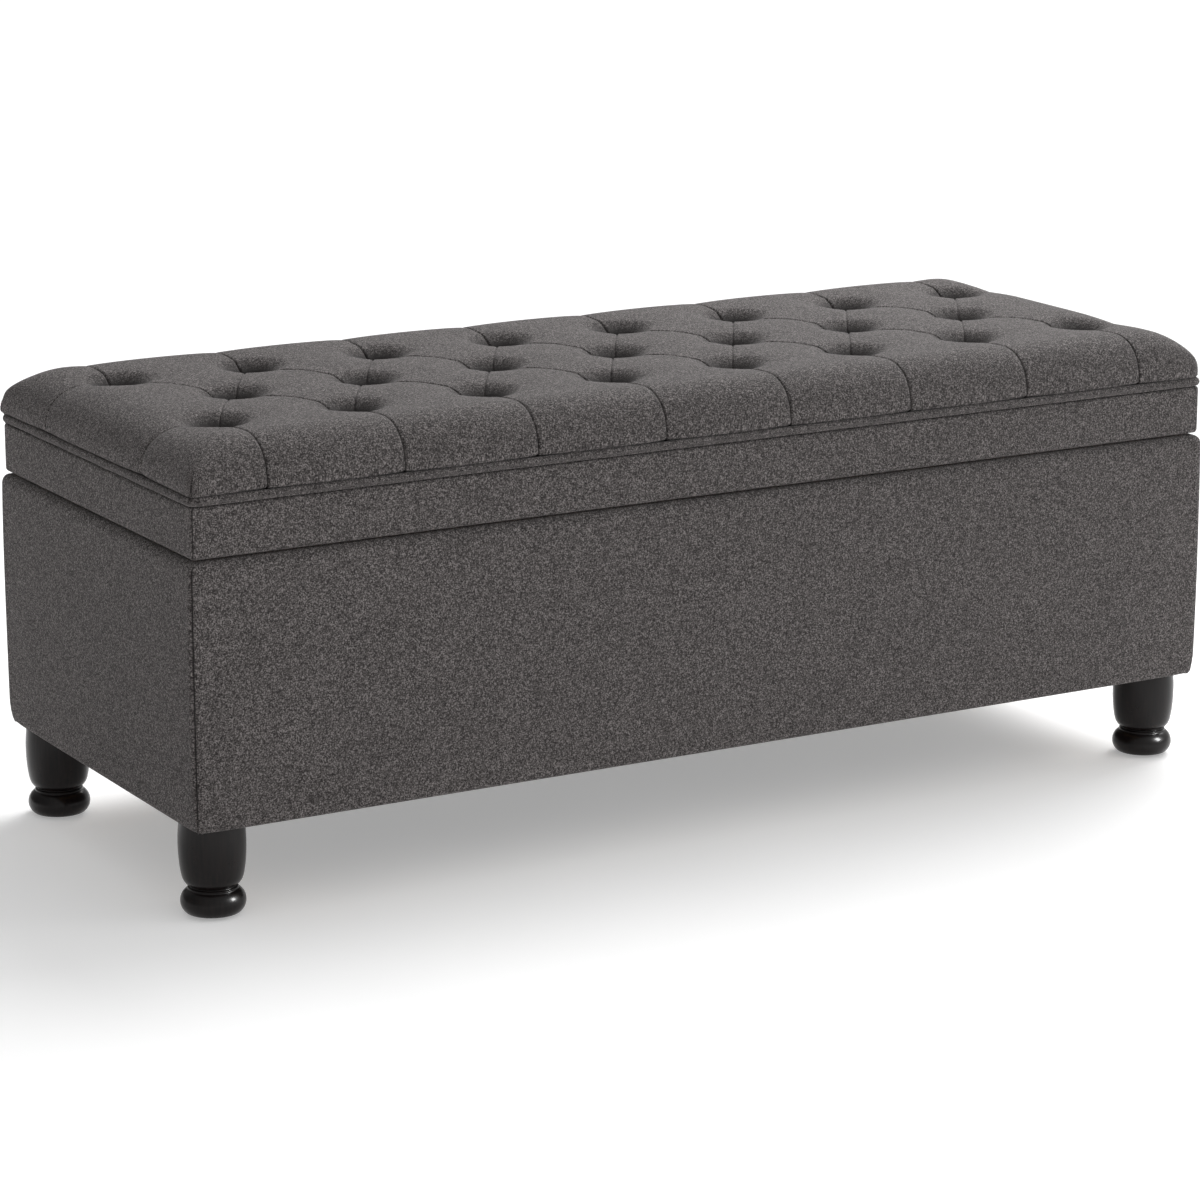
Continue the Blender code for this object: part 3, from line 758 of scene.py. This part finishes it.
def leg_outline(top, foot):
    """Radius and height from the foot up: a bun, a fine bead in the neck, and the vase."""
    bun_at, bun_height, bun_round = 0.0193, 0.0152, 0.0150
    bun = []
    for degrees in range(-50, 64, 6):
        a = radians(degrees)
        bun.append((bun_at + bun_round * cos(a), bun_height + bun_round * sin(a)))
    base_radius = bun[0][0]
    lower = [(0.0040, foot), (base_radius - 0.0045, foot), (base_radius - 0.0015, foot + 0.0006)]
    neck = [(0.0255, 0.0291), (0.0262, 0.0294), (0.0265, 0.0300), (0.0262, 0.0306), (0.0248, 0.0309)]
    neck += [(0.0242, 0.0314), (0.0242, 0.0321), (0.0250, 0.0326)]
    vase = smooth_curve(
        [(0.0258, 0.0330), (0.0286, 0.0352), (0.0316, 0.0405), (0.0336, 0.0500), (0.0348, 0.0610),
         (0.0354, 0.0730), (0.0353, 0.0850), (0.0345, 0.0960), (0.0335, top)], 5)
    return lower + bun + neck + vase


def make_legs():
    """The four turned legs, each at its own CAD leg."""
    legs = []
    for corner in ("front_left", "front_right", "rear_left", "rear_right"):
        node = f"leg_{corner}"
        low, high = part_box(node)
        middle = (low + high) / 2
        outline = leg_outline(high.z, low.z)
        leg = lathe(f"turned_leg_{corner}", outline, LEG_SIDES, (middle.x, middle.y))
        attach(leg, "base")
        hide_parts(node)
        legs.append(leg)
    return legs


def make_buttons():
    """Covered buttons, a little soft-edged, each with its cloth gathered towards the back."""
    radius = (BUTTON_HIGH.x - BUTTON_LOW.x) / 2
    low, high = BUTTON_LOW.z, BUTTON_HIGH.z
    rise = high - low
    outline = [(0.0030, low), (radius * 0.80, low), (radius * 0.97, low + rise * 0.16)]
    rows, waist, above, roundness = 8, 0.32, 0.68, 0.85
    for i in range(rows):
        a = i / rows * pi / 2
        outline.append((radius * cos(a) ** roundness, low + rise * (waist + above * sin(a))))
    outline.append((0.0006, high))
    buttons = []
    for name in tuft_names():
        middle = centre_of(name)
        own_name = name.replace("tuft_button", "covered_button")
        button = lathe(own_name, outline, BUTTON_SIDES, (middle.x, middle.y))
        co = np.array([v.co for v in button.data.vertices])
        angle = np.arctan2(co[:, 1] - middle.y, co[:, 0] - middle.x)
        span = np.hypot(co[:, 0] - middle.x, co[:, 1] - middle.y) / radius
        co[:, 2] += BUTTON_FOLD_SIZE * np.sin(BUTTON_FOLDS * angle + middle.x * 40) * span**3
        move_vertices(button, co)
        set_cloth_uv(button, co[:, :2])
        set_painted_shade(button, 0.30 + 0.45 * np.clip(span, 0, 1) ** 2)  # painted shade, as deep in its well: darkest at the rim
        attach(button, "lid")
        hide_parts(name)
        buttons.append(button)
    return buttons


# ---------------------------------------------------------------- materials

YARN_PITCH = 0.00080
WARP_OFFSET = 7.0  # keeps one direction's random values apart from the other's
YARN_DRIFT = 0.0005  # how far the yarns wander from straight
YARN_STRETCH = 0.14  # a yarn's own tone changes this much more slowly along it than across
CLOTH_TONES = (
    (0.22, (0.0150, 0.0128, 0.0126)),
    (0.42, (0.0480, 0.0425, 0.0415)),
    (0.56, (0.0820, 0.0735, 0.0718)),
    (0.82, (0.2300, 0.2100, 0.2060)),
)
CROSSING_SHARE, YARN_SHARE, FUZZ_SHARE, MOTTLE_SHARE = 0.60, 0.40, 0.16, 0.12
PAINTED_SHADE_CALM, PAINTED_SHADE_DARK = 0.92, 0.87  # how much contrast and light the cloth's colour loses under painted shade, in seams, wells and crevices
CLOTH_SHEEN_TINT = (0.86, 0.84, 0.84, 1.0)
LEG_TONES = ((0.30, (0.0022, 0.0019, 0.0021)), (0.75, (0.0100, 0.0062, 0.0056)))
LINING_COLOR = (0.020, 0.020, 0.021)
BOARD_TONES = ((0.25, (0.28, 0.17, 0.085)), (0.55, (0.46, 0.31, 0.17)), (0.8, (0.60, 0.44, 0.27)))
STEEL_COLOR = (0.36, 0.36, 0.37)
STEEL_ROUGHNESS = 0.36
NYLON_TONES = ((0.3, (0.020, 0.020, 0.021)), (0.7, (0.034, 0.034, 0.035)))
FLOOR_TONES = ((0.3, (0.80, 0.80, 0.80)), (0.7, (0.82, 0.82, 0.82)))


class Nodes:
    """Short calls for building a node material."""

    def __init__(self, name):
        self.material = bpy.data.materials.new(name)
        self.material.use_nodes = True
        self.tree = self.material.node_tree
        self.shader = self.tree.nodes["Principled BSDF"]

    def add(self, kind, **inputs):
        node = self.tree.nodes.new(kind)
        for key, value in inputs.items():
            self.put(node, key, value)
        return node

    def put(self, node, key, value):
        socket = node.inputs[int(key[1:])] if key[0] == "i" and key[1:].isdigit() else node.inputs[key]
        if isinstance(value, bpy.types.NodeSocket):
            self.tree.links.new(value, socket)
        else:
            socket.default_value = value

    def math(self, operation, a, b=0.0, c=0.0):
        node = self.tree.nodes.new("ShaderNodeMath")
        node.operation = operation
        for index, value in enumerate((a, b, c)):
            self.put(node, f"i{index}", value)
        return node.outputs[0]

    def noise(self, vector, scale, detail=2.0, roughness=0.5):
        shape = {"Scale": scale, "Detail": detail, "Roughness": roughness}
        return self.add("ShaderNodeTexNoise", Vector=vector, **shape).outputs["Fac"]

    def white(self, x, y, z=0.0):
        return self.add("ShaderNodeTexWhiteNoise", Vector=self.combine(x, y, z)).outputs["Value"]

    def combine(self, x, y, z=0.0):
        return self.add("ShaderNodeCombineXYZ", X=x, Y=y, Z=z).outputs[0]

    def ramp(self, value, stops):
        node = self.add("ShaderNodeValToRGB", Fac=value)
        ramp = node.color_ramp
        while len(ramp.elements) < len(stops):
            ramp.elements.new(0.5)
        for element, (place, color) in zip(ramp.elements, stops):
            element.position = place
            element.color = (*color, 1.0)
        return node.outputs["Color"]

    def mix(self, share, a, b, blend="MIX"):
        node = self.tree.nodes.new("ShaderNodeMix")
        node.data_type = "RGBA"
        node.blend_type = blend
        self.put(node, "i0", share)
        self.put(node, "i6", a)
        self.put(node, "i7", b)
        return node.outputs[2]

    def bump(self, height, distance, strength=1.0, normal=None):
        node = self.add("ShaderNodeBump", Height=height, Distance=distance, Strength=strength)
        if normal is not None:
            self.put(node, "Normal", normal)
        return node.outputs[0]

    def principled(self, **values):
        for key, value in values.items():
            self.put(self.shader, key.replace("_", " "), value)


def cloth_material(name):
    """Heathered plain weave: every yarn crossing has its own tone, over slubs and soft mottling,
    darkened by painted shade.
    """
    n = Nodes(name)
    uv = n.add("ShaderNodeUVMap")
    uv.uv_map = "cloth"
    drift = n.add("ShaderNodeTexNoise", Vector=uv.outputs[0], Scale=160.0, Detail=2.0)
    split = n.add("ShaderNodeSeparateXYZ", Vector=uv.outputs[0])
    shift = n.add("ShaderNodeSeparateXYZ", Vector=drift.outputs["Color"])
    u = n.math("MULTIPLY_ADD", shift.outputs[0], YARN_DRIFT, split.outputs[0])
    v = n.math("MULTIPLY_ADD", shift.outputs[1], YARN_DRIFT, split.outputs[1])
    column = n.math("DIVIDE", u, YARN_PITCH)
    row = n.math("DIVIDE", v, YARN_PITCH)
    column_at, row_at = n.math("FLOOR", column), n.math("FLOOR", row)

    # Each yarn shows over two crossings at a time, one step further on in every row
    along = n.math("FLOOR", n.math("MULTIPLY_ADD", row_at, 0.5, n.math("MULTIPLY", column, 0.5)))
    across = n.math("FLOOR", n.math("MULTIPLY_ADD", column_at, 0.5, n.math("MULTIPLY", row, 0.5)))
    floats = n.math("ADD", n.white(along, row_at), n.white(column_at, across, WARP_OFFSET))
    crossing = n.math("MULTIPLY_ADD", floats, 0.70, -0.20)

    # Each yarn also has a slow tone of its own, and the upper yarn's counts most
    warp_at = n.combine(column, n.math("MULTIPLY", row, YARN_STRETCH))
    weft_at = n.combine(n.math("MULTIPLY", column, YARN_STRETCH), row, WARP_OFFSET)
    warp = n.noise(warp_at, scale=0.9, detail=2.0)
    weft = n.noise(weft_at, scale=0.9, detail=2.0)
    wave_u = n.math("SINE", n.math("MULTIPLY", column, pi))
    wave_v = n.math("SINE", n.math("MULTIPLY", row, pi))
    over = n.math("MULTIPLY_ADD", n.math("MULTIPLY", wave_u, wave_v), 0.5, 0.5)
    under = n.math("SUBTRACT", 1.0, over)
    yarn = n.math("ADD", n.math("MULTIPLY", warp, over), n.math("MULTIPLY", weft, under))

    flat = n.combine(u, v)
    fuzz = n.noise(flat, scale=1500.0, detail=3.0, roughness=0.6)
    mottle = n.noise(flat, scale=260.0, detail=2.0, roughness=0.7)
    cloud = n.noise(flat, scale=9.0, detail=2.0, roughness=0.5)
    # The 'seam' attribute holds painted shade: seams, darts, wells, crevices and sewn corners
    seam = n.add("ShaderNodeAttribute")
    seam.attribute_name = "seam"
    painted_shade = seam.outputs["Fac"]
    tone = n.math("MULTIPLY_ADD", crossing, CROSSING_SHARE, n.math("MULTIPLY", yarn, YARN_SHARE))
    tone = n.math("ADD", tone, n.math("MULTIPLY", n.math("SUBTRACT", fuzz, 0.5), FUZZ_SHARE))
    tone = n.math("ADD", tone, n.math("MULTIPLY_ADD", mottle, MOTTLE_SHARE, -MOTTLE_SHARE / 2))
    lively = n.math("MULTIPLY_ADD", painted_shade, -PAINTED_SHADE_CALM, 1.0)
    tone = n.math("MULTIPLY_ADD", n.math("SUBTRACT", tone, 0.5), lively, 0.5)
    color = n.ramp(tone, CLOTH_TONES)
    # Soft random mottling, darkened by the painted shade
    shade = n.math("MULTIPLY_ADD", cloud, 0.12, 0.94)
    shade = n.math("MULTIPLY", shade, n.math("MULTIPLY_ADD", painted_shade, -PAINTED_SHADE_DARK, 1.0))
    color = n.mix(1.0, color, n.combine(shade, shade, shade), "MULTIPLY")
    relief = n.math("ADD", n.math("MULTIPLY", over, 0.35), n.math("MULTIPLY", tone, 1.4))
    weave = n.bump(relief, distance=0.0006, strength=0.60)
    n.principled(Base_Color=color, Normal=weave, Roughness=0.95)
    n.shader.inputs["Specular IOR Level"].default_value = 0.20
    n.shader.inputs["Sheen Weight"].default_value = 0.14
    n.shader.inputs["Sheen Roughness"].default_value = 0.40
    n.shader.inputs["Sheen Tint"].default_value = CLOTH_SHEEN_TINT
    return n.material


def leg_material():
    """Near-black espresso stain under a semi-gloss lacquer, with faint grain."""
    n = Nodes("espresso_lacquer")
    place = n.add("ShaderNodeTexCoord").outputs["Object"]
    split = n.add("ShaderNodeSeparateXYZ", Vector=place)
    x, y = (n.math("MULTIPLY", split.outputs[i], 1.0) for i in (0, 1))
    upright = n.combine(x, y, n.math("MULTIPLY", split.outputs[2], 0.07))
    grain = n.noise(upright, scale=340.0, detail=4.0, roughness=0.6)
    color = n.ramp(grain, LEG_TONES)
    haze = n.noise(place, scale=60.0, detail=2.0)
    n.principled(Base_Color=color, Roughness=n.math("MULTIPLY_ADD", haze, 0.12, 0.24),
                 Normal=n.bump(grain, distance=0.0003, strength=0.10))
    n.shader.inputs["Specular IOR Level"].default_value = 0.17
    n.shader.inputs["Coat Weight"].default_value = 0.14
    n.shader.inputs["Coat Roughness"].default_value = 0.10
    return n.material


def lining_material(name, color):
    """Spun non-woven lining: pressed fibres with a fine dotted emboss."""
    n = Nodes(name)
    place = n.add("ShaderNodeTexCoord").outputs["Object"]
    fibre = n.noise(place, scale=420.0, detail=4.0, roughness=0.7)
    dots = n.add("ShaderNodeTexVoronoi", Vector=place, Scale=520.0)
    dark, pale = (tuple(c * share for c in color) for share in (0.6, 1.7))
    shade = n.ramp(fibre, ((0.3, dark), (0.75, pale)))
    emboss = n.math("MULTIPLY", dots.outputs["Distance"], 0.6)
    height = n.math("ADD", emboss, n.math("MULTIPLY", fibre, 0.5))
    creases = n.noise(place, scale=9.0, detail=2.0, roughness=0.4)
    soft = n.bump(creases, distance=0.012, strength=0.35)
    relief = n.bump(height, distance=0.0004, strength=0.5, normal=soft)
    n.principled(Base_Color=shade, Roughness=0.86, Normal=relief)
    n.shader.inputs["Specular IOR Level"].default_value = 0.3
    return n.material


def board_material():
    """Pale engineered board and pine, with long grain and pores."""
    n = Nodes("raw_board")
    place = n.add("ShaderNodeTexCoord").outputs["Object"]
    split = n.add("ShaderNodeSeparateXYZ", Vector=place)
    along = n.combine(n.math("MULTIPLY", split.outputs[0], 0.06), split.outputs[1], split.outputs[2])
    grain = n.noise(along, scale=150.0, detail=5.0, roughness=0.6)
    pores = n.bump(grain, distance=0.0004, strength=0.4)
    n.principled(Base_Color=n.ramp(grain, BOARD_TONES), Roughness=0.72, Normal=pores)
    return n.material


def steel_material(name, color, roughness):
    """Zinc-plated steel with fine brushing and dull patches."""
    n = Nodes(name)
    place = n.add("ShaderNodeTexCoord").outputs["Object"]
    split = n.add("ShaderNodeSeparateXYZ", Vector=place)
    along = n.combine(n.math("MULTIPLY", split.outputs[0], 0.05), split.outputs[1], split.outputs[2])
    brushed = n.noise(along, scale=2200.0, detail=3.0)
    patch = n.noise(place, scale=70.0, detail=3.0)
    tone = n.ramp(patch, ((0.3, tuple(c * 0.82 for c in color)), (0.7, color)))
    scratches = n.bump(brushed, distance=0.0001, strength=0.25)
    dull = n.math("MULTIPLY_ADD", patch, 0.18, roughness)
    n.principled(Base_Color=tone, Metallic=1.0, Normal=scratches, Roughness=dull)
    return n.material


def plastic_material():
    """Black moulded nylon with a fine spark texture."""
    n = Nodes("moulded_nylon")
    place = n.add("ShaderNodeTexCoord").outputs["Object"]
    grain = n.noise(place, scale=900.0, detail=2.0)
    relief = n.bump(grain, distance=0.0002, strength=0.3)
    n.principled(Base_Color=n.ramp(grain, NYLON_TONES), Roughness=0.48, Normal=relief)
    return n.material


def paint(item, material):
    """Gives the item one material."""
    item.data.materials.clear()
    item.data.materials.append(material)


# ---------------------------------------------------------------- camera, light, floor


LENS = 123.8
SENSOR = 36.0
EYE = (-1.798, -3.089, 0.984)  # from the middle of the bench at its lower edge, in bench widths
EYE_DOWN, EYE_TURN = 14.1, -30.0  # degrees

WORLD_LEAN = (0.21, -0.26, 0.0)  # the surroundings are brighter to the right and the front
WORLD_LEVEL = 0.525
OVERHEAD_FROM = (0.80, 0.45, 1.0)
OVERHEAD_STRENGTH, OVERHEAD_DEGREES = 1.85, 38
# Area lights: place, target, size and watts
TOP_PANEL = ((1.25, 0.85, 1.70), (0.05, 0.0, 0.40), (1.3, 1.3), 22.0)
SOFTBOX = ((2.2, -2.0, 1.7), (0.0, 0.0, 0.25), (0.85, 1.10), 190.0)
FLOOR_REACH = 30
FLOOR_GLOW = 0.38


def make_camera():
    """The view from the front left, a little above the lid."""
    data = bpy.data.cameras.new("camera")
    data.lens = LENS
    data.sensor_width = SENSOR
    camera = bpy.data.objects.new("camera", data)
    bpy.context.collection.objects.link(camera)
    x, y, z = (value * 2 * HALF_W for value in EYE)
    camera.location = (x, y, z + BASE_LOW.z)
    camera.rotation_euler = (radians(90 - EYE_DOWN), 0, radians(EYE_TURN))
    bpy.context.scene.camera = camera


def add_light(name, kind, place, target=(0.0, 0.0, 0.0)):
    """A light at one place that shines towards another."""
    data = bpy.data.lights.new(name, kind)
    light = bpy.data.objects.new(name, data)
    light.rotation_euler = (Vector(target) - Vector(place)).to_track_quat("-Z", "Y").to_euler()
    bpy.context.collection.objects.link(light)
    return light, data


def area_light(name, place, target, size, power):
    """A rectangular panel of light that faces its target."""
    light, data = add_light(name, "AREA", place, target)
    light.location = place
    data.shape = "RECTANGLE"
    data.size, data.size_y = size
    data.energy = power
    return light


def make_world():
    """White surroundings that are a little brighter on one side."""
    world = bpy.data.worlds.new("studio")
    world.use_nodes = True
    tree = world.node_tree
    back = tree.nodes["Background"]
    way = tree.nodes.new("ShaderNodeTexCoord")
    lean = tree.nodes.new("ShaderNodeVectorMath")
    lean.operation = "DOT_PRODUCT"
    lean.inputs[1].default_value = WORLD_LEAN
    level = tree.nodes.new("ShaderNodeMath")
    level.operation = "ADD"
    level.inputs[1].default_value = WORLD_LEVEL
    tree.links.new(way.outputs["Generated"], lean.inputs[0])
    tree.links.new(lean.outputs["Value"], level.inputs[0])
    tree.links.new(level.outputs[0], back.inputs["Strength"])
    back.inputs["Color"].default_value = (1.0, 1.0, 1.0, 1.0)
    bpy.context.scene.world = world


def make_floor():
    """A plain pale floor that reaches past every view."""
    far = FLOOR_REACH
    verts = [(-far, -far, 0), (far, -far, 0), (far, far, 0), (-far, far, 0)]
    floor = new_mesh_object("floor", verts, [(0, 1, 2, 3)], smooth=False)
    n = Nodes("pale_floor")
    place = n.add("ShaderNodeTexCoord").outputs["Object"]
    tone = n.ramp(n.noise(place, scale=3.0, detail=2.0), FLOOR_TONES)
    n.principled(Base_Color=tone, Roughness=0.9, Emission_Color=tone)
    n.shader.inputs["Emission Strength"].default_value = FLOOR_GLOW
    paint(floor, n.material)


def make_studio():
    """Soft light from above and the right, and a softbox seen only in gloss."""
    make_world()
    _, sky = add_light("overhead", "SUN", OVERHEAD_FROM)
    sky.energy = OVERHEAD_STRENGTH
    sky.angle = radians(OVERHEAD_DEGREES)
    area_light("top_panel", *TOP_PANEL)
    softbox = area_light("softbox", *SOFTBOX)
    softbox.visible_diffuse = False
    make_floor()
    bpy.context.scene.view_settings.view_transform = "Standard"


# ---------------------------------------------------------------- assembly

cloth = cloth_material("heather_cloth")
legs_finish = leg_material()
lining = lining_material("non_woven_lining", LINING_COLOR)
board = board_material()
steel = steel_material("zinc_plate", STEEL_COLOR, STEEL_ROUGHNESS)
tube_paint = plastic_material()

pad = make_pad()
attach(pad, "lid")
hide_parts("seat_pad")
paint(pad, cloth)

cover = make_base_cover()
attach(cover, "base")
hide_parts("base_cover")
paint(cover, cloth)

band = make_lid_band()
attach(band, "lid")
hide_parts("lid_band_cover")
paint(band, cloth)

piping = make_piping()
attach(piping, "lid")
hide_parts("lid_piping")
paint(piping, cloth)

for leg in make_legs():
    paint(leg, legs_finish)
for button in make_buttons():
    paint(button, cloth)

node_finishes = {
    "storage_lining": lining, "lid_lining": lining, "dust_cover": lining,
    "hinge": steel, "strut_rod": steel, "strut_foot": steel, "strut_head": steel,
    "strut_tube": tube_paint, "leg_glide": tube_paint,
    "base_": board, "corner_block": board, "lid_frame": board, "lid_board": board,
}
for name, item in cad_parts.items():
    for start, finish in node_finishes.items():
        if name.startswith(start):
            paint(item, finish)
            break

make_camera()
make_studio()
